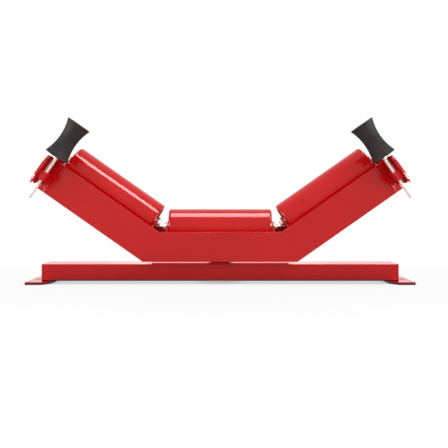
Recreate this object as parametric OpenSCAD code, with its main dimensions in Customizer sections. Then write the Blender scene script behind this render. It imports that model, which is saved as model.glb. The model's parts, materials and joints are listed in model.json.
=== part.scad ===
// Self-aligning troughing idler set for a belt conveyor.
// A base beam with bolt-down feet carries a trough frame on a central pivot. Three
// equal rollers lie in the frame, and two concave rollers stand in front to guide the
// belt's edges, which turns the frame and steers the belt back.
//
// X runs across the conveyor, Y along the belt (the front is -Y) and Z is up.
// The origin is on the pivot axis at the level that the feet stand on.
//
// A wing has its own frame: u runs outwards along the wing roller's axis from its
// inner end, and n is square to it, upwards.

/* [Troughing rollers] */
// Outside diameter of a troughing roller
roller_d = 108; // [104:1:112]
// Length of a troughing roller over its rims
roller_l = 311; // [290:1:320]
// Wall of the roller tube
roller_wall = 3.5; // [3:0.5:4.5]
// Outside radius of the curled rim at each end
rim_r = 5; // [4.5:0.5:6]
// Diameter of a roller's fixed shaft and of its bearings' bore
shaft_d = 20; // [18:1:22]
// Width across the flats at the ends of a roller shaft
flat_w = 14; // [12:1:16]
// How far a roller shaft stands out past its brackets
shaft_proud = 10; // [4:0.5:11]
// Outside diameter of a roller's bearings
bearing_d = 47; // [45:1:50]
// Width of a roller's bearings
bearing_w = 14; // [12:1:16]
// Distance from a roller's end to the middle of its bearing
bearing_inset = 26; // [25:1:32]
// Thickness of the pressed bearing housings
housing_t = 3; // [2:0.5:4]
// Depth of a housing's rim along the tube wall
housing_rim = 15; // [10:1:20]

/* [Trough] */
// Angle of the wing rollers
trough_angle = 35; // [30:1:40]
// Gap between centre and wing rollers at the belt line
belt_gap = 13; // [12:1:20]
// Height of a wing roller's inner top corner above the centre roller's top
wing_rise = 8.5; // [6:0.5:10]

/* [Trough frame] */
// Thickness of the frame's steel plates
plate_t = 6; // [5:0.5:8]
// Width of the frame over its front and rear plates
frame_w = 130; // [126:1:140]
// Height of the frame at its middle
centre_h = 89; // [80:0.5:100]
// Depth of the frame in a wing, square to the wing
wing_h = 100; // [95:0.5:110]
// Height of the centre roller's axis above the frame's top edge
centre_drop = 13.5; // [8:0.5:16]
// Height of a wing roller's axis above the frame's top edge
wing_drop = 16.5; // [12:0.5:18]
// Rise of the rear plate's inside corners behind the brackets
corner_rise = 13; // [6:1:16]
// Clear gap between a roller's end and its bracket
bracket_gap = 3; // [2:0.5:5]
// Thickness of the slotted shaft brackets
bracket_t = 6; // [5:0.5:7]
// Height of a bracket's prongs above the roller axis
prong_h = 16; // [13:0.5:18]
// Width of each prong beside the shaft slot
prong_w = 12; // [8:0.5:16]
// How far a bracket widens on each side, from its prongs down to the frame's top edge
prong_splay = 26; // [10:1:32]
// Room between a wing's outer bracket and the end of the frame
end_room = 17.5; // [16:0.5:24]

/* [Guide rollers] */
// Diameter of a guide roller at its ends
guide_end_d = 73; // [66:0.5:80]
// Diameter of a guide roller at its waist
guide_waist_d = 52; // [48:0.5:60]
// Length of a guide roller
guide_l = 112.5; // [100:0.5:125]
// Height of a guide roller's lower face above the wing roller's axis
guide_lift = -1.5; // [-4:0.5:6]
// Distance from the frame's front face to the guide roller's axis
guide_reach = 67; // [62:1:75]
// Diameter of a guide shaft
guide_shaft_d = 14; // [13:0.5:15]
// Distance from the arm's inner face to the guide shaft's axis
guide_inset = 9.5; // [8.5:0.5:11]
// Length of guide shaft left below its lug
guide_tail = 61; // [40:1:70]
// Bore of the guide roller bearings
guide_bore = 12; // [10:0.5:12.5]
// Outside diameter of the guide roller bearings
guide_bearing_d = 32; // [30:0.5:34]
// Width of the guide roller bearings
guide_bearing_w = 10; // [8:0.5:12]

/* [Arms] */
// Thickness of the arm plates
arm_t = 8; // [6:0.5:10]
// Width of the arm plates
arm_w = 92; // [85:1:95]
// Height of an arm's top edge above the frame's top edge
arm_lift = 8; // [4:0.5:10]
// How far an arm reaches past the guide shaft's axis
arm_nose = 38; // [30:1:45]
// Length of the nose's bevels along the arm
nose_run = 12; // [8:1:16]
// Distance from an arm's top edge to the middle of its lug
lug_drop = 58.5; // [52:0.5:62]
// Height of a lug along the guide shaft
lug_h = 27; // [20:1:32]
// Width of a lug along the arm
lug_w = 36; // [30:1:40]
// Diameter of the set screw in a lug
screw_d = 8; // [6:1:10]

/* [Base] */
// Length over the feet
base_l = 1150; // [1120:1:1200]
// Length of foot beyond each end of the beam
foot_reach = 40; // [38:1:50]
// Length of foot under each end of the beam
foot_under = 30; // [20:1:40]
// Width of the feet along the belt
foot_w = 170; // [150:1:190]
// Thickness of the feet
foot_t = 8; // [6:0.5:12]
// Distance between the bolt slots
bolt_spacing = 1110; // [1108:0.5:1112]
// Width of a bolt slot
slot_w = 14; // [12:0.5:18]
// Length of a bolt slot from end to end
slot_l = 30; // [24:0.5:30]
// Width of the channel beam
beam_w = 100; // [94:1:104]
// Height of the channel beam
beam_h = 50; // [49:0.5:54]
// Thickness of the beam's web
web_t = 5.3; // [4.5:0.1:7]
// Thickness of the beam's flanges
flange_t = 7; // [5:0.5:9]
// Half length of the seat plate on the beam
seat_half = 206; // [150:1:240]
// Thickness of the seat plate
seat_t = 3.5; // [3:0.5:6]

/* [Pivot] */
// Gap between the seat plate and the trough frame
pivot_gap = 4.5; // [4:0.5:8]
// Outside diameter of the pivot housing
pivot_d = 64; // [62:0.5:70]
// Diameter of the pivot shaft in its bearings
pivot_shaft_d = 25; // [24:0.5:26]
// Outside diameter of the pivot's radial bearing
pivot_bearing_d = 52; // [50:0.5:54]
// Width of the pivot's radial bearing
pivot_bearing_w = 15; // [14:0.5:15.5]
// Outside diameter of the pivot's thrust bearing
thrust_d = 47; // [45:0.5:48]
// Height of the pivot's thrust bearing
thrust_h = 15; // [14:0.5:16]
// Diameter of the threaded end under the pivot
thread_d = 20; // [18:1:21]
// Largest swing of the trough frame each way
swing = 8; // [5:0.5:10]
// Width of the stop lug behind the beam
stop_w = 56; // [44:1:60]

/* [Hidden] */
$fn = 96;
// Clearances
fit = 0.3;          // between faces that slip past each other
seat_play = 0.2;    // between a shaft's flats and its slot
ball_play = 0.15;   // between a ball and its groove
// Small fixed sizes
clip_t = 1.2;       // thickness of a shaft circlip
clip_groove = 0.5;  // depth of its groove
clip_h = 2.5;       // radial height of a circlip above its groove
line_cut = 0.6;     // depth of the tool mark beside a rim
line_w = 1;         // width of that mark
seal_wall = 1.5;    // wall of a labyrinth ring
seal_gap = 1;       // gap between labyrinth rings
chamfer = 3;        // corner bevel of a bracket's prongs
flat_play = 0.5;    // how far a shaft's flats run past its bracket on each side
shoulder = 4;       // slope of a bracket's top beside its prongs
lug_wall = 3.5;     // metal of a lug beside its shaft
rim_lip = 4;        // flat lip of a roller's end inside its curled rim
cup_lip = 3.5;      // lip that a bearing stands against
guide_lip = 2.5;    // lip that a guide roller's bearing stands against
guide_cap_t = 3;    // thickness of the cap over a guide roller's upper bearing
guide_seal_gap = 0.8;  // gap between a guide shaft and its lower seal
tip = 1;            // step at a guide shaft's lower end
stop_t = 8;         // thickness of the stop lug
stop_low = 25;      // how far it reaches below the beam's top
cotter_over = 4;    // how far the cotter pin stands out on each side of its nut
eye_r = 1.4;        // gap in the cotter pin's eye
nipple_r = 3;       // radius of the grease nipple and its channel

// Levels of the base and of the frame over it
beam_z = foot_t;
beam_top = beam_z + beam_h;
seat_top = beam_top + seat_t;
frame_z = seat_top + pivot_gap;
centre_top = frame_z + centre_h;
axis_z = centre_top + centre_drop;
beam_half = base_l / 2 - foot_reach;
foot_inner = beam_half - foot_under;
foot_taper = foot_w / 2 - beam_w / 2;

// Rollers and the wing's own frame
roller_r = roller_d / 2;
half_l = roller_l / 2;
wing_x = half_l + belt_gap + roller_r * sin(trough_angle);
wing_z = axis_z + roller_r + wing_rise - roller_r * cos(trough_angle);
wing_top = -wing_drop;
wing_bottom = wing_top - wing_h;
wing_end = roller_l + bracket_gap + bracket_t + end_room;
inner_w = frame_w - 2 * plate_t;

// Guide rollers, in the wing's frame
guide_u = wing_end - guide_inset;
guide_y = -frame_w / 2 - guide_reach;
arm_top = wing_top + arm_lift;
lug_n = arm_top - lug_drop;
lug_inner = guide_u - guide_shaft_d / 2 - lug_wall;
guide_top = guide_lift + guide_l;
bearing_land = 6;   // depth of a guide bearing below the roller's face
guide_low_n = guide_lift + bearing_land;
guide_high_n = guide_top - bearing_land - guide_cap_t - guide_bearing_w;

// Pivot levels, from the top down
flange_under = 2.2;                       // thickness of the pivot shaft's flange
felt_room = 6;                            // from the frame down to the thrust bearing
housing_top = frame_z - flange_under - fit;
thrust_top = frame_z - felt_room;
thrust_low = thrust_top - thrust_h;
thrust_ball_r = 4;
ball_lift = 2.5;                          // half the gap between the thrust washers
thrust_washer_t = thrust_h / 2 - ball_lift;
neck_r = pivot_shaft_d / 2 + 5;
spigot_r = neck_r + 3;                    // part of the pivot shaft in the bottom plate
bearing_shelf = 7;                        // wall between the two pivot bearings
housing_lip = 3.5;                        // lip that the pivot bearings stand against
radial_top = thrust_low - bearing_shelf;
radial_low = radial_top - pivot_bearing_w;
pivot_clip_t = 1.6;
pivot_clip_cut = 1.2;                     // depth of the pivot circlip's groove
clip_shelf = 3;                           // housing left below the circlip
housing_low = radial_low - pivot_clip_t - clip_shelf;
washer_t = 3;
nut_h = 11;
nut_af = 30;
nut_low = radial_low - washer_t - nut_h;
castle_h = 4.6;
cotter_r = 1.9;
cotter_z = nut_low + 2.2;

// A bearing is [bore, outside diameter, width]
roller_bearing = [shaft_d, bearing_d, bearing_w];
guide_bearing = [guide_bore, guide_bearing_d, guide_bearing_w];
pivot_bearing = [pivot_shaft_d, pivot_bearing_d, pivot_bearing_w];
roller_balls = 8;
guide_balls = 7;
pivot_balls = 9;
thrust_balls = 12;
function section(b) = (b[1] - b[0]) / 2;
function ball_r(b) = 0.29 * section(b);
function ring_t(b) = 0.27 * section(b);
function pitch_r(b) = (b[0] + b[1]) / 4;

// A point of a wing, in X and Z, and where a wing line crosses a level
function wing_pt(u, n) = [
    wing_x + u * cos(trough_angle) - n * sin(trough_angle),
    wing_z + u * sin(trough_angle) + n * cos(trough_angle)];
function u_at(z, n) = (z - wing_z - n * cos(trough_angle)) / sin(trough_angle);
function mirrored(points) = [for (i = [len(points) - 1:-1:0]) [-points[i][0], points[i][1]]];

red = [0.74, 0.12, 0.12];
black = [0.16, 0.15, 0.15];
steel = [0.72, 0.72, 0.73];
dark_steel = [0.45, 0.45, 0.47];
seal_grey = [0.22, 0.22, 0.24];
felt = [0.62, 0.58, 0.5];

// ---- Places ----

// Draws on the right wing, or mirrored on the left one (side is 1 or -1)
module wing(side) {
    if (side < 0) mirror([1, 0, 0]) wing(1) children();
    else translate([wing_x, 0, wing_z]) rotate([0, -trough_angle, 0]) children();
}

// Draws about a roller's middle with +Z along its axis (side 0 is the centre roller)
module on_roller(side) {
    if (side == 0) translate([0, 0, axis_z]) rotate([0, 90, 0]) children();
    else wing(side) translate([half_l, 0, 0]) rotate([0, 90, 0]) children();
}

// Draws both ends of a roller: the children see the end at +Z
module both_ends() {
    children();
    mirror([0, 0, 1]) children();
}

// Draws about a guide shaft's axis, with +Z up the shaft and 0 at the roller's axis
module on_guide(side) wing(side) translate([guide_u, guide_y, 0]) children();

// Turns a profile in X and Z into a plate of depth w along Y
module across(w) rotate([90, 0, 0]) linear_extrude(w, center = true) children();

// Turns a profile in Y and Z into a plate of thickness t along X
module along(t) rotate([90, 0, 90]) linear_extrude(t) children();

module ring(r_in, r_out, z0, z1) translate([r_in, z0]) square([r_out - r_in, z1 - z0]);

// ---- Bearings ----

module inner_ring(b) rotate_extrude() difference() {
    ring(b[0] / 2, b[0] / 2 + ring_t(b), -b[2] / 2, b[2] / 2);
    translate([pitch_r(b), 0]) circle(ball_r(b) + ball_play);
}

module outer_ring(b) rotate_extrude() difference() {
    ring(b[1] / 2 - ring_t(b), b[1] / 2, -b[2] / 2, b[2] / 2);
    translate([pitch_r(b), 0]) circle(ball_r(b) + ball_play);
}

module balls(count, at_r, r) for (i = [0:count - 1])
    rotate([0, 0, 360 * i / count]) translate([at_r, 0, 0]) sphere(r);

module outer_half(b, count) {
    outer_ring(b);
    balls(count, pitch_r(b), ball_r(b));
}

// ---- Base ----

module base_beam() color(red) difference() {
    translate([-beam_half, 0, beam_z]) along(2 * beam_half) difference() {
        translate([-beam_w / 2, 0]) square([beam_w, beam_h]);
        translate([-beam_w / 2 + flange_t, -1])
            square([beam_w - 2 * flange_t, beam_h - web_t + 1]);
    }
    translate([0, 0, beam_z]) cylinder(h = beam_h + 1, d = pivot_d);
}

// A foot lies under the beam's end, tapers out past it and has one bolt slot
module foot(side) color(red) linear_extrude(foot_t) scale([side, 1]) difference() {
    polygon([
        [foot_inner, -beam_w / 2], [beam_half - foot_taper / 4, -foot_w / 2],
        [base_l / 2, -foot_w / 2], [base_l / 2, foot_w / 2],
        [beam_half - foot_taper / 4, foot_w / 2], [foot_inner, beam_w / 2]]);
    for (s = [-1, 1]) translate([bolt_spacing / 2 + s * (slot_l - slot_w) / 2, 0])
        circle(d = slot_w);
    translate([bolt_spacing / 2 - (slot_l - slot_w) / 2, -slot_w / 2])
        square([slot_l - slot_w, slot_w]);
}

module seat_plate() color(red) translate([0, 0, beam_top]) difference() {
    translate([-seat_half, -beam_w / 2, 0]) cube([2 * seat_half, beam_w, seat_t]);
    translate([0, 0, -1]) cylinder(h = seat_t + 2, d = pivot_d);
}

module pivot_housing() color(red) rotate_extrude() difference() {
    ring(0, pivot_d / 2, housing_low, housing_top);
    ring(-1, thrust_d / 2, thrust_low, housing_top + 1);
    ring(-1, thrust_d / 2 - housing_lip, radial_top - 1, thrust_low + 1);
    ring(-1, pivot_bearing_d / 2, housing_low - 1, radial_top);
    ring(-1, pivot_bearing_d / 2 + pivot_clip_cut, radial_low - pivot_clip_t, radial_low);
}

module pivot_outer_ring() color(steel) translate([0, 0, (radial_top + radial_low) / 2])
    outer_half(pivot_bearing, pivot_balls);

module thrust_groove() translate([(pivot_shaft_d + thrust_d) / 4, thrust_low + thrust_h / 2])
    circle(thrust_ball_r + ball_play);

module thrust_washer_lower() color(steel) {
    rotate_extrude() difference() {
        ring(pivot_shaft_d / 2 + guide_seal_gap, thrust_d / 2, thrust_low, thrust_low + thrust_washer_t);
        thrust_groove();
    }
    translate([0, 0, thrust_low + thrust_h / 2])
        balls(thrust_balls, (pivot_shaft_d + thrust_d) / 4, thrust_ball_r);
}

module pivot_circlip() color(dark_steel) difference() {
    rotate_extrude()
        ring(pivot_bearing_d / 2 - clip_h, pivot_bearing_d / 2 + pivot_clip_cut,
            radial_low - pivot_clip_t, radial_low);
    translate([0, -4, radial_low - pivot_clip_t - 1]) cube([pivot_d, 8, pivot_clip_t + 2]);
}

module pivot_felt_ring() color(felt) rotate_extrude()
    ring(neck_r + fit, thrust_d / 2, thrust_top + fit, housing_top);

// ---- Trough frame ----

// Outline of the front and rear plates
wing_edge = [
    wing_pt(u_at(frame_z, wing_bottom), wing_bottom), wing_pt(wing_end, wing_bottom),
    wing_pt(wing_end, wing_top), wing_pt(u_at(centre_top, wing_top), wing_top)];
module trough_plate() across(plate_t) polygon(concat(wing_edge, mirrored(wing_edge)));

module front_plate() color(red) translate([0, -(frame_w - plate_t) / 2, 0]) trough_plate();

// The rear plate, whose inside corners rise behind the brackets
module rear_plate() color(red) translate([0, (frame_w - plate_t) / 2, 0]) union() {
    trough_plate();
    rise = centre_top + corner_rise;
    bracket_x = half_l + bracket_gap;
    corner = [
        wing_pt(u_at(centre_top - 1, wing_top - 1), wing_top - 1),
        wing_pt(u_at(rise, wing_top - 1), wing_top - 1), wing_pt(u_at(rise, wing_top), wing_top),
        [bracket_x + bracket_t, rise], [bracket_x - bracket_t, centre_top],
        [bracket_x - bracket_t, centre_top - 1]];
    across(plate_t) {
        polygon(corner);
        polygon(mirrored(corner));
    }
}

// The bottom plates meet on a mitre line through these two points
outer_mitre = wing_pt(u_at(frame_z, wing_bottom), wing_bottom);
floor_n = wing_bottom + plate_t;
inner_mitre = wing_pt(u_at(frame_z + plate_t, floor_n), floor_n);

module centre_bottom_plate() color(red) difference() {
    across(inner_w) polygon(concat([inner_mitre, outer_mitre], mirrored([inner_mitre, outer_mitre])));
    translate([0, 0, frame_z - 1]) cylinder(h = plate_t + 2, r = spigot_r);
}

module bottom_plate(side) color(red) {
    half = [outer_mitre, wing_pt(wing_end, wing_bottom), wing_pt(wing_end, floor_n), inner_mitre];
    across(inner_w) polygon(side > 0 ? half : mirrored(half));
}

// A slotted bracket in Y and height above the roller axis, from foot_h up to its prongs
module bracket(foot_h, shoulder_h) along(bracket_t) difference() {
    prong = flat_w / 2 + seat_play + prong_w;
    right = [
        [inner_w / 2, foot_h], [inner_w / 2, shoulder_h - shoulder],
        [prong + prong_splay, shoulder_h], [prong, prong_h - chamfer],
        [prong - chamfer, prong_h]];
    polygon(concat(right, mirrored(right)));
    translate([-flat_w / 2 - seat_play, -shaft_d / 2 - seat_play])
        square([flat_w + 2 * seat_play, shaft_d + prong_h]);
}

module centre_brackets() color(red) for (x = [half_l + bracket_gap, -half_l - bracket_gap - bracket_t])
    translate([x, 0, axis_z]) bracket(frame_z + plate_t - axis_z, -centre_drop);

module wing_brackets(side) color(red) wing(side)
    for (u = [-bracket_gap - bracket_t, roller_l + bracket_gap])
        translate([u, 0, 0]) bracket(floor_n, wing_top);

// The arm closes the wing's end and reaches forward to carry the guide roller
module arm(side) color(red) wing(side) translate([wing_end, 0, 0]) along(arm_t) {
    nose = guide_y - arm_nose;
    polygon([
        [frame_w / 2, arm_top], [nose + nose_run, arm_top], [nose, arm_top - 2 * nose_run],
        [nose, arm_top - arm_w + nose_run], [nose + nose_run, arm_top - arm_w],
        [frame_w / 2, arm_top - arm_w]]);
}

module lug(side) color(red) on_guide(side) difference() {
    translate([lug_inner - guide_u, -lug_w / 2, lug_n - lug_h / 2])
        cube([wing_end - lug_inner, lug_w, lug_h]);
    translate([0, 0, lug_n - lug_h]) cylinder(h = 2 * lug_h, d = guide_shaft_d);
    translate([0, 0, lug_n]) rotate([-90, 0, 0]) cylinder(h = lug_w, d = screw_d);
}

// Bar that hangs from the frame behind the beam and meets it just past the largest swing
module stop_lug() color(red) {
    limit = swing + 1;
    reach = (beam_w / 2 + stop_w / 2 * sin(limit)) / cos(limit);
    translate([-stop_w / 2, reach, beam_top - stop_low])
        cube([stop_w, stop_t, frame_z - beam_top + stop_low]);
}

// ---- Pivot pieces that turn with the frame ----

module pivot_shaft() color(steel) difference() {
    rotate_extrude() {
        ring(0, thread_d / 2, nut_low - 1.5, radial_low);
        ring(0, pivot_shaft_d / 2, radial_low, thrust_top);
        ring(0, neck_r, thrust_top, frame_z);
        ring(0, pivot_d / 2, frame_z - flange_under, frame_z);
        ring(0, spigot_r, frame_z, frame_z + plate_t + nipple_r);
    }
    translate([0, 0, cotter_z]) rotate([90, 0, 0])
        cylinder(h = 2 * thread_d, r = cotter_r, center = true);
    translate([0, 0, frame_z]) cylinder(h = plate_t + nipple_r + 1, r = nipple_r);
}

module pivot_inner_ring() color(steel) translate([0, 0, (radial_top + radial_low) / 2])
    inner_ring(pivot_bearing);

module thrust_washer_upper() color(steel) rotate_extrude() difference() {
    ring(pivot_shaft_d / 2, thrust_d / 2 - 0.5, thrust_top - thrust_washer_t, thrust_top);
    thrust_groove();
}

module pivot_washer() color(steel) rotate_extrude()
    ring(thread_d / 2, pivot_shaft_d / 2 + housing_lip, radial_low - washer_t, radial_low);

// Castle nut: three slots across its lower end
module pivot_nut() color(steel) translate([0, 0, nut_low]) difference() {
    cylinder(h = nut_h, d = nut_af / cos(30), $fn = 6);
    translate([0, 0, -1]) cylinder(h = nut_h + 2, d = thread_d);
    for (a = [0, 60, 120]) rotate([0, 0, a + 30])
        translate([-nut_af, -2.2, -1]) cube([2 * nut_af, 4.4, castle_h + 1]);
}

module pivot_cotter() color(steel) translate([0, 0, cotter_z]) rotate([90, 0, 0]) {
    cylinder(h = nut_af + 2 * cotter_over, r = cotter_r, center = true);
    translate([0, 0, -nut_af / 2 - cotter_over - 2]) rotate([90, 0, 0]) rotate_extrude()
        translate([cotter_r + eye_r, 0]) circle(cotter_r * 0.8);
}

module grease_nipple() color(steel) translate([0, 0, frame_z]) {
    base = plate_t + nipple_r;
    cylinder(h = base, r = nipple_r);
    translate([0, 0, base]) cylinder(h = 4, d = 3 * nipple_r, $fn = 6);
    translate([0, 0, base + 4]) cylinder(h = 3, r = 0.8 * nipple_r);
    translate([0, 0, base + 8]) sphere(nipple_r);
}

// ---- Troughing rollers ----

bearing_mid = half_l - bearing_inset;
bearing_out = bearing_mid + bearing_w / 2;
bearing_in = bearing_mid - bearing_w / 2;
lip_in = half_l - roller_wall;
tube_r = roller_r - roller_wall;

module roller_shaft() color(steel) {
    total = roller_l + 2 * (bracket_gap + bracket_t + shaft_proud);
    flat_low = half_l + bracket_gap - flat_play;
    flat_len = bracket_t + 2 * flat_play;
    difference() {
        cylinder(h = total, d = shaft_d, center = true);
        both_ends() {
            for (s = [-1, 1])
                translate([-shaft_d, s * (shaft_d + flat_w) / 2 - shaft_d / 2, flat_low])
                    cube([2 * shaft_d, shaft_d, flat_len]);
            translate([0, 0, bearing_out]) difference() {
                cylinder(h = clip_t, d = shaft_d + 1);
                translate([0, 0, -1]) cylinder(h = clip_t + 2, r = shaft_d / 2 - clip_groove);
            }
        }
    }
}

// Tube whose ends curl inwards over the housings, with a fine line turned beside each rim
module roller_shell() color(red) rotate_extrude() {
    curl_z = half_l - rim_r;
    difference() {
        ring(tube_r, roller_r, -curl_z, curl_z);
        for (s = [-1, 1]) translate([roller_r - line_cut, s * (curl_z - line_w) - line_w / 2])
            square([1, line_w]);
    }
    for (s = [-1, 1]) {
        intersection() {
            translate([roller_r - rim_r, s * curl_z]) difference() {
                circle(rim_r);
                circle(rim_r - roller_wall);
            }
            translate([roller_r - rim_r, s > 0 ? curl_z : -half_l]) square(rim_r);
        }
        translate([roller_r - rim_r - rim_lip, s > 0 ? lip_in : -half_l])
            square([rim_lip, roller_wall]);
    }
}

module roller_housings() color(red) both_ends() rotate_extrude() {
    cup_r = bearing_d / 2;
    rim_top = half_l - rim_r;
    ring(tube_r - housing_t, tube_r, rim_top - housing_rim, rim_top);
    ring(cup_r, tube_r, rim_top - housing_t, rim_top);
    ring(cup_r, cup_r + housing_t, bearing_in - housing_t, rim_top);
    ring(cup_r - cup_lip, cup_r + housing_t, bearing_in - housing_t, bearing_in);
}

module roller_bearings() color(steel) both_ends() translate([0, 0, bearing_mid])
    outer_half(roller_bearing, roller_balls);

// Rotating half of the labyrinth: pressed into the housing's bore
module roller_seals() color(seal_grey) both_ends() rotate_extrude() {
    r = bearing_d / 2;
    top = half_l - rim_r;
    ring(r - 2, r, bearing_out + fit, top);
    ring(shaft_d / 2 + seal_gap, r, top - 2.5, top);
    ring(labyrinth(3), labyrinth(3) + seal_wall, bearing_out + clip_t + 4, top - 2.5);
}

// Inner radius of a labyrinth ring, counted inwards from the bore; odd rings rotate
function labyrinth(i) = bearing_d / 2 - 2 - (i - 1) * (seal_wall + seal_gap);

// Fixed half of the labyrinth: seated on the shaft against the circlip
module fixed_seal() rotate_extrude() {
    z0 = bearing_out + clip_t;
    tip = half_l - rim_r - 2.5 - seal_gap;
    ring(shaft_d / 2, labyrinth(2) + seal_wall, z0, z0 + seal_wall);
    ring(labyrinth(2), labyrinth(2) + seal_wall, z0, tip);
    ring(shaft_d / 2, shaft_d / 2 + seal_wall, z0, tip);
}

module roller_circlip() difference() {
    rotate_extrude() ring(shaft_d / 2 - clip_groove, shaft_d / 2 + clip_h - clip_groove,
        bearing_out, bearing_out + clip_t);
    translate([0, -2.5, bearing_out - 1]) cube([shaft_d, 5, clip_t + 2]);
}

module roller_inner_rings() color(steel) for (side = [-1:1]) on_roller(side) both_ends()
    translate([0, 0, bearing_mid]) inner_ring(roller_bearing);

module roller_circlips() color(dark_steel) for (side = [-1:1]) on_roller(side) both_ends()
    roller_circlip();

module roller_fixed_seals() color(seal_grey) for (side = [-1:1]) on_roller(side) both_ends()
    fixed_seal();

// ---- Guide rollers ----

module guide_roller(side) color(black) on_guide(side) rotate_extrude() difference() {
    sag = (guide_end_d - guide_waist_d) / 2;
    arc_r = (pow(guide_l / 2, 2) + pow(sag, 2)) / (2 * sag);
    ring(0, guide_end_d / 2, guide_lift, guide_top);
    translate([guide_waist_d / 2 + arc_r, (guide_lift + guide_top) / 2]) circle(arc_r);
    ring(-1, guide_bearing_d / 2 - guide_lip, guide_lift - 1, guide_top + 1);
    ring(-1, guide_bearing_d / 2, guide_lift - 1, guide_low_n + guide_bearing_w);
    ring(-1, guide_bearing_d / 2, guide_high_n, guide_top + 1);
}

module guide_bearings(side) color(steel) on_guide(side)
    for (n = [guide_low_n, guide_high_n]) translate([0, 0, n + guide_bearing_w / 2])
        outer_half(guide_bearing, guide_balls);

module guide_inner_rings() color(steel) for (side = [-1, 1]) on_guide(side)
    for (n = [guide_low_n, guide_high_n]) translate([0, 0, n + guide_bearing_w / 2])
        inner_ring(guide_bearing);

// A seal under the lower bearing and a plain cap over the upper one
module guide_caps(side) color(black) on_guide(side) {
    rotate_extrude() ring(guide_shaft_d / 2 + guide_seal_gap, guide_bearing_d / 2,
        guide_lift, guide_low_n - fit);
    translate([0, 0, guide_top - guide_cap_t]) cylinder(h = guide_cap_t, d = guide_bearing_d);
}

module guide_shaft(side) color(steel) on_guide(side) {
    tail = lug_n - lug_h / 2 - guide_tail;
    clip_n = guide_high_n + guide_bearing_w;
    rotate_extrude() {
        ring(0, guide_shaft_d / 2 - tip, tail, tail + tip);
        ring(0, guide_shaft_d / 2, tail + tip, guide_low_n);
        ring(0, guide_bore / 2, guide_low_n, clip_n);
        ring(0, guide_bore / 2 - clip_groove, clip_n, clip_n + clip_t);
        ring(0, guide_bore / 2, clip_n + clip_t, clip_n + clip_t + 2);
    }
}

module guide_circlips() color(dark_steel) for (side = [-1, 1]) on_guide(side)
    translate([0, 0, guide_high_n + guide_bearing_w]) difference() {
        rotate_extrude() ring(guide_bore / 2 - clip_groove, guide_bore / 2 + clip_h - 1, 0, clip_t);
        translate([0, -1.5, -1]) cube([guide_bore, 3, clip_t + 2]);
    }

// Set screw in the back of each lug, tight on the shaft, with a hexagon socket
module guide_set_screws() color(dark_steel) for (side = [-1, 1]) on_guide(side)
    translate([0, 0, lug_n]) rotate([-90, 0, 0]) difference() {
        translate([0, 0, guide_shaft_d / 2])
            cylinder(h = lug_w / 2 - guide_shaft_d / 2, d = screw_d);
        translate([0, 0, lug_w / 2 - 5]) cylinder(h = 6, d = screw_d / 2, $fn = 6);
    }

base_beam();
foot(-1);  // left_foot
foot(1);  // right_foot
seat_plate();
pivot_housing();
pivot_outer_ring();
thrust_washer_lower();
pivot_circlip();
pivot_felt_ring();
front_plate();
rear_plate();
centre_bottom_plate();
bottom_plate(-1);  // left_bottom_plate
bottom_plate(1);  // right_bottom_plate
centre_brackets();
wing_brackets(-1);  // left_brackets
wing_brackets(1);  // right_brackets
arm(-1);  // left_arm
arm(1);  // right_arm
lug(-1);  // left_lug
lug(1);  // right_lug
stop_lug();
pivot_shaft();
pivot_inner_ring();
thrust_washer_upper();
pivot_washer();
pivot_nut();
pivot_cotter();
grease_nipple();
on_roller(0) roller_shaft();  // centre_roller_shaft
on_roller(-1) roller_shaft();  // left_roller_shaft
on_roller(1) roller_shaft();  // right_roller_shaft
roller_inner_rings();
roller_circlips();
roller_fixed_seals();
guide_shaft(-1);  // left_guide_shaft
guide_shaft(1);  // right_guide_shaft
guide_inner_rings();
guide_circlips();
guide_set_screws();
on_roller(0) roller_shell();  // centre_roller_shell
on_roller(0) roller_housings();  // centre_roller_housings
on_roller(0) roller_bearings();  // centre_roller_bearings
on_roller(0) roller_seals();  // centre_roller_seals
on_roller(-1) roller_shell();  // left_roller_shell
on_roller(-1) roller_housings();  // left_roller_housings
on_roller(-1) roller_bearings();  // left_roller_bearings
on_roller(-1) roller_seals();  // left_roller_seals
on_roller(1) roller_shell();  // right_roller_shell
on_roller(1) roller_housings();  // right_roller_housings
on_roller(1) roller_bearings();  // right_roller_bearings
on_roller(1) roller_seals();  // right_roller_seals
guide_roller(-1);  // left_guide_roller
guide_bearings(-1);  // left_guide_bearings
guide_caps(-1);  // left_guide_caps
guide_roller(1);  // right_guide_roller
guide_bearings(1);  // right_guide_bearings
guide_caps(1);  // right_guide_caps
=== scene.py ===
"""Looks of a self-aligning troughing idler set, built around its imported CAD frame.

The plates, brackets, lugs and shafts are the CAD shapes with softened edges. The rollers
and guide rollers are turned again at a finer pitch. Everything is in metres, in the
frame's own axes: X across the belt, Y along it (the guide rollers stand on the -Y side)
and Z up.
"""
import json
import math

import bmesh
import bpy
from mathutils import Matrix, Vector

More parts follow.
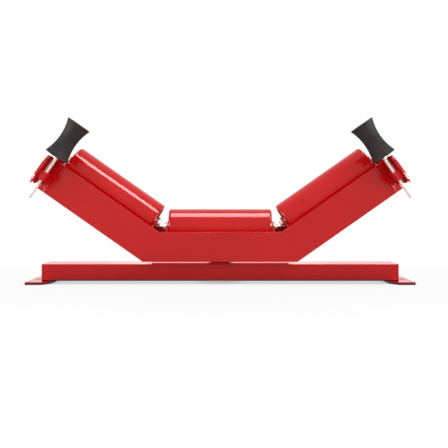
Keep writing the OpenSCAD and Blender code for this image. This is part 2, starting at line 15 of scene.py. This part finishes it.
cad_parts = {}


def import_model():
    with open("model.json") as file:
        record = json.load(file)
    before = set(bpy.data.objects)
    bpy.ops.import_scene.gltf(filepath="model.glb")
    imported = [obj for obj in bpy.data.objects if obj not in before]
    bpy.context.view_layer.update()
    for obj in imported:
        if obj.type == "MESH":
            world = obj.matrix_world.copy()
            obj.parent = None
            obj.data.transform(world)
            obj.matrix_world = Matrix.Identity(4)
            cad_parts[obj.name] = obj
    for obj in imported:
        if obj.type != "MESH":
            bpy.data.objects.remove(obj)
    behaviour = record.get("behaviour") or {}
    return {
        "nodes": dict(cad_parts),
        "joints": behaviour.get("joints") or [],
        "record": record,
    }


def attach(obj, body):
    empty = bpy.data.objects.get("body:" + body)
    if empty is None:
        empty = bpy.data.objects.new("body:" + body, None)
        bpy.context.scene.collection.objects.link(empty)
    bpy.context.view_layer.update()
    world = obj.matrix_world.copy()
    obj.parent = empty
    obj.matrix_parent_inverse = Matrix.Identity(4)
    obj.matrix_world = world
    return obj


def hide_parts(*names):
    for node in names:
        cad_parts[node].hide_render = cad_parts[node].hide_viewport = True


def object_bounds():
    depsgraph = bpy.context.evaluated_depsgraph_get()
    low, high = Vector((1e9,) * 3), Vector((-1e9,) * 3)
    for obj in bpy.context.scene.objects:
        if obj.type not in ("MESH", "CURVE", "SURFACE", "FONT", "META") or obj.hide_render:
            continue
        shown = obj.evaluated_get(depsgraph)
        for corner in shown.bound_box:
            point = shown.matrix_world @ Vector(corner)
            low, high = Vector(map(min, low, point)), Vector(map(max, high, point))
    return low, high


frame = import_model()
cad_low, cad_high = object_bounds()
nodes = frame["nodes"]
joints = {j["name"]: j for j in frame["joints"]}
MM = 0.001
SIDES = ("left", "right")
FOLD = 7.4 * MM    # radius along the front of an arm


# ---- Nodes of a material, the floor and the world ----

def remap(tree, source, low, high, to_low, to_high):
    """A value moved from one range to another, and held at its ends."""
    node = tree.nodes.new("ShaderNodeMapRange")
    for socket, value in zip(("From Min", "From Max", "To Min", "To Max"),
                             (low, high, to_low, to_high)):
        node.inputs[socket].default_value = value
    tree.links.new(source, node.inputs["Value"])
    return node.outputs["Result"]


def calculate(tree, operation, first, second):
    """Two values put together, the second a number or a socket."""
    node = tree.nodes.new("ShaderNodeMath")
    node.operation = operation
    tree.links.new(first, node.inputs[0])
    if isinstance(second, float):
        node.inputs[1].default_value = second
    else:
        tree.links.new(second, node.inputs[1])
    return node.outputs[0]


def openness(tree, reach, samples):
    """How open a surface is within a reach, from 0 in a corner to 1 in the clear."""
    node = tree.nodes.new("ShaderNodeAmbientOcclusion")
    node.inputs["Distance"].default_value = reach
    node.samples = samples
    return node.outputs["AO"]


class Tree:
    """A material with a principled shader, and short ways to add nodes to it."""

    def __init__(self, name, color, roughness, metallic=0.0, specular=0.5):
        self.material = bpy.data.materials.new(name)
        self.material.use_nodes = True
        self.tree = self.material.node_tree
        self.nodes = self.tree.nodes
        self.links = self.tree.links
        self.shader = self.nodes["Principled BSDF"]
        self.set("Base Color", (*color, 1))
        self.set("Roughness", roughness)
        self.set("Metallic", metallic)
        self.set("Specular IOR Level", specular)
        self.place = self.nodes.new("ShaderNodeTexCoord").outputs["Object"]
        self.normal = None

    def set(self, socket, value):
        self.shader.inputs[socket].default_value = value

    def wire(self, source, node, socket):
        self.links.new(source, node.inputs[socket])

    def noise(self, scale, detail, stretch=None):
        """Fractal noise from 0 to 1, in cycles per metre, drawn out along an axis by stretch."""
        node = self.nodes.new("ShaderNodeTexNoise")
        node.inputs["Scale"].default_value = scale
        node.inputs["Detail"].default_value = detail
        self.wire(self.stretched(stretch) if stretch else self.place, node, "Vector")
        return node.outputs["Fac"]

    def stretched(self, factors):
        node = self.nodes.new("ShaderNodeMapping")
        node.inputs["Scale"].default_value = factors
        self.wire(self.place, node, "Vector")
        return node.outputs["Vector"]

    def range(self, source, low, high, to_low, to_high):
        return remap(self.tree, source, low, high, to_low, to_high)

    def math(self, operation, first, second):
        return calculate(self.tree, operation, first, second)

    def place_and_slope(self):
        """A point's distance sideways, its height, and how much its face looks up."""
        point = self.nodes.new("ShaderNodeNewGeometry")
        split, turned = (self.nodes.new("ShaderNodeSeparateXYZ") for _ in range(2))
        self.wire(point.outputs["Position"], split, "Vector")
        self.wire(point.outputs["Normal"], turned, "Vector")
        beside = self.math("ABSOLUTE", split.outputs["X"], 0.0)
        return beside, split.outputs["Z"], turned.outputs["Z"]

    def mix(self, factor, first, second):
        """A colour between two, each a tuple or a socket."""
        node = self.nodes.new("ShaderNodeMix")
        node.data_type = "RGBA"
        self.wire(factor, node, "Factor")
        for socket, value in zip((node.inputs[6], node.inputs[7]), (first, second)):
            if isinstance(value, tuple):
                socket.default_value = (*value, 1)
            else:
                self.links.new(value, socket)
        return node.outputs[2]

    def bump(self, height, strength, distance):
        node = self.nodes.new("ShaderNodeBump")
        node.inputs["Strength"].default_value = strength
        node.inputs["Distance"].default_value = distance
        self.wire(height, node, "Height")
        if self.normal:
            self.wire(self.normal, node, "Normal")
        self.normal = node.outputs["Normal"]
        self.wire(self.normal, self.shader, "Normal")

    def use(self, source, socket):
        self.wire(source, self.shader, socket)


# ---- Materials ----

def red_enamel(name, reach, near, far, corner_shade, top=0.95, peel=1.0, glow=None, upward=False):
    """Glossy enamel: a slight tone drift, a faint orange peel, and painted shade in corners, a
    deeper colour and a duller reflection.

    A corner is where less than the far share of the surroundings is open within reach.
    Upward faces get a painted highlight, a lighter colour, and sides close to the floor get
    painted shade, dark and dull. Glow is painted light, an emission that stands in for the
    light a narrow gap holds, on all its faces, or on the upward ones clear of the pivot.
    """
    t = Tree(name, (0.58, 0.005, 0.006), 0.09, specular=0.28)
    drift = t.range(t.noise(6.0, 4.0), 0.3, 0.7, 0.0, 1.0)
    tone = t.mix(drift, (0.55, 0.004, 0.005), (0.62, 0.007, 0.008))
    beside, height, slope = t.place_and_slope()
    # Painted highlight: faces that look up are mixed to a lighter red, as if lit from above.
    tone = t.mix(t.range(slope, 0.6, 1.0, 0.0, 1.0), tone, (top, 0.006, 0.007))
    # Painted shade: where little is open within reach, the colour is mixed to the darker corner red
    # and the reflection is turned down.
    shaded = t.range(openness(t.tree, reach, 8), near, far, 0.0, 1.0)
    clear = t.math("MAXIMUM", shaded, slope)
    # Painted shade: sides within about 19 mm of the floor are mixed to a dark, dull colour.
    lifted = t.math("ADD", height, t.math("MULTIPLY", slope, 0.05))
    low = t.range(lifted, 1 * MM, 19 * MM, 0.0, 1.0)
    floor_shade = (0.16, 0.028, 0.032)
    t.use(t.mix(low, floor_shade, t.mix(clear, corner_shade, tone)), "Base Color")
    t.use(t.range(t.math("MULTIPLY", clear, low), 0.0, 1.0, 0.03, 0.28), "Specular IOR Level")
    # Painted light: an emission in narrow gaps stands in for light reaching into them; on the beam
    # it is only on upward faces clear of the pivot.
    if glow:
        held = t.range(shaded, 0.0, 0.5, 1.0, 0.0)
        if upward:
            clear_of_pivot = t.range(beside, 33 * MM, 45 * MM, 0.0, 1.0)
            held = t.math("MULTIPLY", held, t.math("MULTIPLY", slope, clear_of_pivot))
        t.set("Emission Color", (*glow, 1))
        t.use(held, "Emission Strength")
    t.use(t.range(t.noise(40.0, 5.0), 0.35, 0.7, 0.07, 0.12), "Roughness")
    t.bump(t.noise(420.0, 2.0), 0.02 * peel, 0.3 * MM)
    t.bump(t.noise(55.0, 1.0), 0.012 * peel, 1.0 * MM)
    return t.material


def black_rubber():
    """Moulded rubber: satin, with a dusty bloom and a fine grain."""
    t = Tree("black_rubber", (0.026, 0.023, 0.023), 0.50, specular=0.012)
    bloom = t.range(t.noise(22.0, 5.0), 0.35, 0.75, 0.0, 1.0)
    t.use(t.mix(bloom, (0.040, 0.032, 0.033), (0.060, 0.048, 0.049)), "Base Color")
    t.use(t.range(t.noise(55.0, 4.0), 0.3, 0.7, 0.40, 0.52), "Roughness")
    t.bump(t.noise(1500.0, 3.0), 0.10, 0.3 * MM)
    return t.material


def turned_steel(name, color, roughness, lines, depth, polish=1.0):
    """Metal turned in a lathe: fine rings around local Z, with soft stains."""
    t = Tree(name, color, roughness, metallic=polish)
    rings = t.noise(1.0, 6.0, stretch=(1.0, 1.0, lines))
    stain = t.range(t.noise(45.0, 5.0), 0.35, 0.7, 0.0, 1.0)
    t.use(t.mix(stain, tuple(0.82 * c for c in color), color), "Base Color")
    t.use(t.range(rings, 0.3, 0.7, roughness * 0.8, roughness * 1.3), "Roughness")
    t.bump(rings, depth, 0.1 * MM)
    return t.material


def plain_metal(name, color, roughness):
    """Small plated or blackened pieces, with a mottled sheen."""
    t = Tree(name, color, roughness, metallic=1.0)
    t.use(t.mix(t.noise(160.0, 4.0), tuple(0.75 * c for c in color), color), "Base Color")
    t.use(t.range(t.noise(300.0, 3.0), 0.3, 0.7, roughness * 0.8, roughness * 1.25), "Roughness")
    t.bump(t.noise(1100.0, 2.0), 0.08, 0.1 * MM)
    return t.material


def moulded_plastic():
    t = Tree("seal_plastic", (0.022, 0.022, 0.024), 0.45)
    t.use(t.range(t.noise(90.0, 4.0), 0.3, 0.7, 0.38, 0.52), "Roughness")
    t.bump(t.noise(1800.0, 2.0), 0.1, 0.2 * MM)
    return t.material


def pressed_felt():
    t = Tree("felt", (0.30, 0.26, 0.19), 0.95, specular=0.1)
    t.use(t.mix(t.noise(2200.0, 4.0), (0.2, 0.17, 0.12), (0.36, 0.32, 0.24)), "Base Color")
    t.bump(t.noise(2600.0, 4.0), 0.8, 0.4 * MM)
    t.set("Sheen Weight", 0.4)
    return t.material


# Each enamel's dark colour is painted shade for its corners, and its glow painted light in its
# gaps. The rollers' shade makes a deep red band low down beside the plates, and the beam's pink
# glow lights its top under the frame.
FINISH = {
    "red_paint": red_enamel("red_enamel", 30 * MM, 0.15, 0.70, (0.36, 0.002, 0.002),
                            glow=(0.11, 0.001, 0.001)),
    "roller_paint": red_enamel("roller_enamel", 60 * MM, 0.56, 0.92, (0.43, 0.001, 0.001),
                               top=0.62, peel=0.3, glow=(0.15, 0.0004, 0.0004)),
    "beam_paint": red_enamel("beam_enamel", 110 * MM, 0.20, 0.95, (0.28, 0.007, 0.009),
                             glow=(0.80, 0.14, 0.13), upward=True),
    "black_rubber": black_rubber(),
    # Painted reflection: the machined steel's colour is warmed to pink, as the red paint around it
    # would tint it.
    "machined_steel": turned_steel("machined_steel", (0.92, 0.82, 0.76), 0.26, 2600.0, 0.10,
                                   polish=0.7),
    "bearing_steel": turned_steel("bearing_steel", (0.72, 0.72, 0.73), 0.14, 5200.0, 0.05),
    "zinc_steel": plain_metal("zinc_steel", (0.66, 0.66, 0.60), 0.30),
    "black_steel": plain_metal("black_steel", (0.10, 0.10, 0.105), 0.38),
    "seal_plastic": moulded_plastic(),
    "felt": pressed_felt(),
}


# ---- Building ----

def finish_mesh(obj, slot, body, sharp=35.0, finish=None):
    obj.data.shade_smooth()
    obj.data.set_sharp_from_angle(angle=math.radians(sharp))
    obj.data.materials.clear()
    obj.data.materials.append(FINISH[finish or slot])
    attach(obj, body)
    return obj


def new_object(name, mesh, place=None):
    obj = bpy.data.objects.new(name, mesh)
    bpy.context.scene.collection.objects.link(obj)
    if place:
        obj.matrix_world = place
    return obj


def axis_place(joint):
    """A joint's own frame: origin on its axis, and local Z along it."""
    z = Vector(joint["axis"]).normalized()
    y = (Vector((0, 1, 0)) - z * z.y).normalized()
    m = Matrix((y.cross(z), y, z)).transposed().to_4x4()
    m.translation = Vector(joint["pos_m"])
    return m


def local_box(node, place):
    """Lowest and highest corner of a CAD node in a place's own axes."""
    to_local = place.inverted()
    points = [to_local @ v.co for v in nodes[node].data.vertices]
    low = Vector([min(p[i] for p in points) for i in range(3)])
    high = Vector([max(p[i] for p in points) for i in range(3)])
    return low, high


def arc(center, radius, start, end, steps):
    """Points of an arc in radius and height, from one angle to another in degrees."""
    angles = [math.radians(start + (end - start) * i / steps) for i in range(steps + 1)]
    return [(center[0] + radius * math.cos(a), center[1] + radius * math.sin(a)) for a in angles]


def lathe(name, profile, place, segments=144):
    """Turns a closed profile of (radius, height) points about local Z."""
    mesh = bpy.data.meshes.new(name)
    count = len(profile)
    verts, faces = [], []
    for s in range(segments):
        a = math.tau * s / segments
        verts += [(r * math.cos(a), r * math.sin(a), z) for r, z in profile]
    for s in range(segments):
        here, after = s * count, (s + 1) % segments * count
        faces += [(here + i, here + (i + 1) % count, after + (i + 1) % count, after + i)
                  for i in range(count)]
    mesh.from_pydata(verts, [], faces)
    clean = bmesh.new()
    clean.from_mesh(mesh)
    bmesh.ops.remove_doubles(clean, verts=clean.verts, dist=1e-6)
    bmesh.ops.recalc_face_normals(clean, faces=clean.faces)
    clean.to_mesh(mesh)
    clean.free()
    return new_object(name, mesh, place)


def soften(node, body, slot, width, place=None, folds=None, finish=None):
    """A CAD piece with rounded edges, and wider ones along the edges that folds picks."""
    place = place or Matrix.Identity(4)
    shape = bmesh.new()
    shape.from_mesh(nodes[node].data)
    bmesh.ops.remove_doubles(shape, verts=shape.verts, dist=2e-6)
    bmesh.ops.dissolve_limit(shape, angle_limit=math.radians(0.5), verts=shape.verts,
                             edges=shape.edges)
    bmesh.ops.transform(shape, matrix=place.inverted(), verts=shape.verts)
    weight = shape.edges.layers.float.new("bevel_weight_edge")
    shape.normal_update()
    for edge in shape.edges:
        if len(edge.link_faces) == 2 and edge.calc_face_angle(0.0) > math.radians(30):
            edge[weight] = 1.0 if folds and folds(edge) else width / FOLD
    mesh = bpy.data.meshes.new(node + "_shape")
    shape.to_mesh(mesh)
    shape.free()
    obj = new_object(node + "_piece", mesh, place)
    round_over = obj.modifiers.new("edges", "BEVEL")
    round_over.width = FOLD
    round_over.segments = 4
    round_over.limit_method = "WEIGHT"
    round_over.harden_normals = True
    finish_mesh(obj, slot, body, 30.0, finish)
    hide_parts(node)
    return obj


def keep(node, slot):
    """A CAD piece as it is, with its material."""
    for i in range(max(1, len(nodes[node].data.materials))):
        if i < len(nodes[node].data.materials):
            nodes[node].data.materials[i] = FINISH[slot]
        else:
            nodes[node].data.materials.append(FINISH[slot])


# ---- Plates ----

def nose(edge):
    """Picks the outer edge down the front of an arm, which is ground round."""
    outer = [f for f in edge.link_faces
             if abs(f.normal.y) < 0.1 and f.normal.x * edge.verts[0].co.x > 0.38]
    return bool(outer) and all(v.co.y < -0.155 for v in edge.verts)


def plates():
    """All the welded steelwork, with its edges softened."""
    edge = {"base": 1.2 * MM, "trough_frame": 0.9 * MM}
    paint = {"base": "beam_paint", "trough_frame": "red_paint"}
    folds = {"left_arm": nose, "right_arm": nose}
    slots = {s["node"]: s["material_slot"] for s in frame["record"]["subparts"]}
    lathed = ("shell", "shaft", "housing", "ring", "washer", "nut", "cotter", "nipple", "circlips")
    for body, width in edge.items():
        for node in frame["record"]["behaviour"]["bodies"][body]:
            if slots[node] == "red_paint" and not any(word in node for word in lathed):
                soften(node, body, "red_paint", width, folds=folds.get(node), finish=paint[body])


# ---- Rollers ----

def roller_profile(radius, half, rim, lip, wall):
    """Tube with curled rims, and a fine turned line beside each."""
    top = arc((radius - rim, half - rim), rim, 90, 0, 8)
    line_z, line_w, line_d = half - rim - 1.0 * MM, 0.5 * MM, 0.6 * MM
    groove = [(radius, line_z + line_w), (radius - line_d, line_z), (radius, line_z - line_w)]
    upper = [(radius - rim - lip, half)] + top + groove
    outer = upper + [(r, -z) for r, z in reversed(upper)]
    inner = [(radius - rim - lip, half - wall), (radius - wall, half - wall)]
    return outer + [(r, -z) for r, z in inner] + list(reversed(inner))


def rollers():
    rim, lip, wall = 5 * MM, 4 * MM, 3.5 * MM
    for name in ("centre_roller", "left_roller", "right_roller"):
        place = axis_place(joints[name + "_spin"])
        low, high = local_box(name + "_shell", place)
        profile = roller_profile(high.y, high.z, rim, lip, wall)
        shell = lathe(name + "_tube", profile, place)
        finish_mesh(shell, "red_paint", name, finish="roller_paint")
        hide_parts(name + "_shell")
        for part, slot in (("housings", "red_paint"), ("bearings", "bearing_steel"),
                           ("seals", "seal_plastic")):
            keep(name + "_" + part, slot)
        soften(name + "_shaft", "trough_frame", "machined_steel", 0.8 * MM, place)


# ---- Guide rollers ----

def guide_profile(low, high, radius, waist, bore):
    """Concave roller with a small bevel on its sharp ends."""
    half, sag, bevel = (high - low) / 2, radius - waist, 0.8 * MM
    arc_r = (half ** 2 + sag ** 2) / (2 * sag)
    reach = math.degrees(math.asin((half - bevel) / arc_r))
    curve = arc((waist + arc_r, (low + high) / 2), arc_r, 180 - reach, 180 + reach, 32)
    rim = radius - 1.6 * MM
    return [(bore, high), (rim, high)] + curve + [(rim, low), (bore, low)]


def guides():
    for side in SIDES:
        name = side + "_guide"
        place = axis_place(joints[name + "_spin"])
        low, high = local_box(name + "_roller", place)
        waist = min(Vector((p.x, p.y)).length for p in outer_points(name + "_roller", place))
        cap_low, cap_high = local_box(name + "_caps", place)
        roller = lathe(name + "_rubber",
                       guide_profile(low.z, high.z, high.y, waist, cap_high.y), place)
        finish_mesh(roller, "black_rubber", name)
        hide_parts(name + "_roller")
        keep(name + "_caps", "black_rubber")
        keep(name + "_bearings", "bearing_steel")
        soften(name + "_shaft", "trough_frame", "machined_steel", 0.8 * MM, place)


def outer_points(node, place):
    """A guide roller's points near its middle height, outside its bore."""
    to_local = place.inverted()
    points = [to_local @ v.co for v in nodes[node].data.vertices]
    cut = (max(Vector((p.x, p.y)).length for p in points)) * 0.6
    return [p for p in points if Vector((p.x, p.y)).length > cut]


# ---- The rest of the CAD pieces ----

def small_pieces():
    slots = {s["node"]: s["material_slot"] for s in frame["record"]["subparts"]}
    for node, obj in nodes.items():
        if not obj.hide_render:
            keep(node, slots[node])


# ---- Stage, light and camera ----

def seen_rays(tree):
    """1 for camera, glossy and transmission rays, and 0 for the rays that light surfaces."""
    path = tree.nodes.new("ShaderNodeLightPath").outputs
    direct = calculate(tree, "MAXIMUM", path["Is Camera Ray"], path["Is Glossy Ray"])
    return calculate(tree, "MAXIMUM", direct, path["Is Transmission Ray"])


def stage():
    """A pale floor: white to the eye further out, and with the object's shadow close to it. Close
    to the object its colour is darker, painted shade, and a painted contact shadow darkens it where
    the object closes it in.
    """
    half, below = 6.0, 0.2 * MM
    mesh = bpy.data.meshes.new("floor")
    mesh.from_pydata([(-half, -half, 0), (half, -half, 0), (half, half, 0), (-half, half, 0)],
                     [], [(0, 1, 2, 3)])
    floor = new_object("floor", mesh, Matrix.Translation((0, 0, cad_low.z - below)))
    mat = bpy.data.materials.new("pale_floor")
    mat.use_nodes = True
    tree = mat.node_tree
    add, link = tree.nodes.new, tree.links.new
    shader = tree.nodes["Principled BSDF"]
    shader.inputs["Roughness"].default_value = 0.9
    shader.inputs["Specular IOR Level"].default_value = 0.0

    place, oval, length = (add("ShaderNodeTexCoord"), add("ShaderNodeMapping"),
                           add("ShaderNodeVectorMath"))
    oval.inputs["Scale"].default_value = (0.62, 1.0, 0.0)
    length.operation = "LENGTH"
    link(place.outputs["Object"], oval.inputs["Vector"])
    link(oval.outputs["Vector"], length.inputs[0])
    away = length.outputs["Value"]
    # Painted shade: the floor's colour is darker close to the object, so it throws back less light
    # onto the lower parts.
    link(remap(tree, away, 0.15, 0.90, 0.14, 0.55), shader.inputs["Base Color"])

    fade = remap(tree, away, 0.30, 0.80, 0.94, 1.0)
    # Painted contact shadow: where the object closes the floor in, less of its white shows.
    contact_shadow = remap(tree, openness(tree, 60 * MM, 16), 0.35, 0.92, 0.52, 1.0)
    white = calculate(tree, "MULTIPLY", calculate(tree, "MULTIPLY", fade, contact_shadow), seen_rays(tree))
    glow, mix = add("ShaderNodeEmission"), add("ShaderNodeMixShader")
    link(white, mix.inputs["Fac"])
    link(shader.outputs[0], mix.inputs[1])
    link(glow.outputs[0], mix.inputs[2])
    link(mix.outputs[0], tree.nodes["Material Output"].inputs["Surface"])
    mesh.materials.append(mat)


def world():
    """White to the eye and in reflections. As light, it is brighter low down than overhead."""
    studio = bpy.data.worlds.new("studio")
    bpy.context.scene.world = studio
    studio.use_nodes = True
    tree = studio.node_tree
    back = tree.nodes["Background"]
    back.inputs["Color"].default_value = (1, 1, 1, 1)
    place, split, mix = (tree.nodes.new("ShaderNodeTexCoord"),
                         tree.nodes.new("ShaderNodeSeparateXYZ"), tree.nodes.new("ShaderNodeMix"))
    tree.links.new(place.outputs["Generated"], split.inputs[0])
    upright = remap(tree, split.outputs["Z"], 0.0, 0.9, 2.0, 0.75)
    across = remap(tree, split.outputs["X"], -1.0, 1.0, 0.85, 1.17)
    tree.links.new(seen_rays(tree), mix.inputs["Factor"])
    tree.links.new(calculate(tree, "MULTIPLY", upright, across), mix.inputs[2])
    mix.inputs[3].default_value = 1.0
    tree.links.new(mix.outputs[0], back.inputs["Strength"])


def softbox(name, place, aim, along, width, depth, radiance):
    """A rectangular lamp that faces a point. Its power follows from how bright its face looks."""
    light = bpy.data.lights.new(name, "AREA")
    light.shape = "RECTANGLE"
    light.size, light.size_y = width, depth
    light.energy = radiance * math.pi * width * depth
    obj = bpy.data.objects.new(name, light)
    obj.visible_diffuse = False
    bpy.context.scene.collection.objects.link(obj)
    back = (Vector(place) - Vector(aim)).normalized()
    side = (Vector(along) - back * back.dot(Vector(along))).normalized()
    turn = Matrix((side, back.cross(side), back)).transposed()
    obj.matrix_world = Matrix.Translation(place) @ turn.to_4x4()
    return obj


def lights():
    """Lamps that draw the highlights and light nothing else.

    The overhead one draws the centre roller's band, the strip the left roller's line, and
    the flanks the arms' front edges.
    """
    across, along = (1, 0, 0), (0, 1, 0)
    softbox("overhead", (0.0, -0.35, 3.0), (0, -0.05, 0.2), across, 0.90, 1.5, 14.0)
    softbox("strip", (1.39, -2.15, 4.0), (-0.31, -0.05, 0.3), across, 1.3, 1.45, 20.0)
    for side, x in (("left", -1), ("right", 1)):
        softbox(side + "_flank", (x * 1.6, -1.45, 0.66), (x * 0.46, -1.45, 0.26), along,
                2.7, 0.6, 34.0)


def camera():
    """Level, about two metres in front, with the horizon a little above the picture's middle."""
    data = bpy.data.cameras.new("camera")
    data.sensor_width = 36.0
    data.lens = 51.46
    data.shift_x = 0.0085
    data.shift_y = -0.0424
    data.clip_end = 100
    obj = bpy.data.objects.new("camera", data)
    bpy.context.scene.collection.objects.link(obj)
    obj.location = (0, -1.9676, 0.2352)
    obj.rotation_euler = (math.radians(90), 0, 0)
    bpy.context.scene.camera = obj


camera()
plates()
rollers()
guides()
small_pieces()
stage()
world()
lights()
bpy.context.scene.view_settings.view_transform = "Standard"
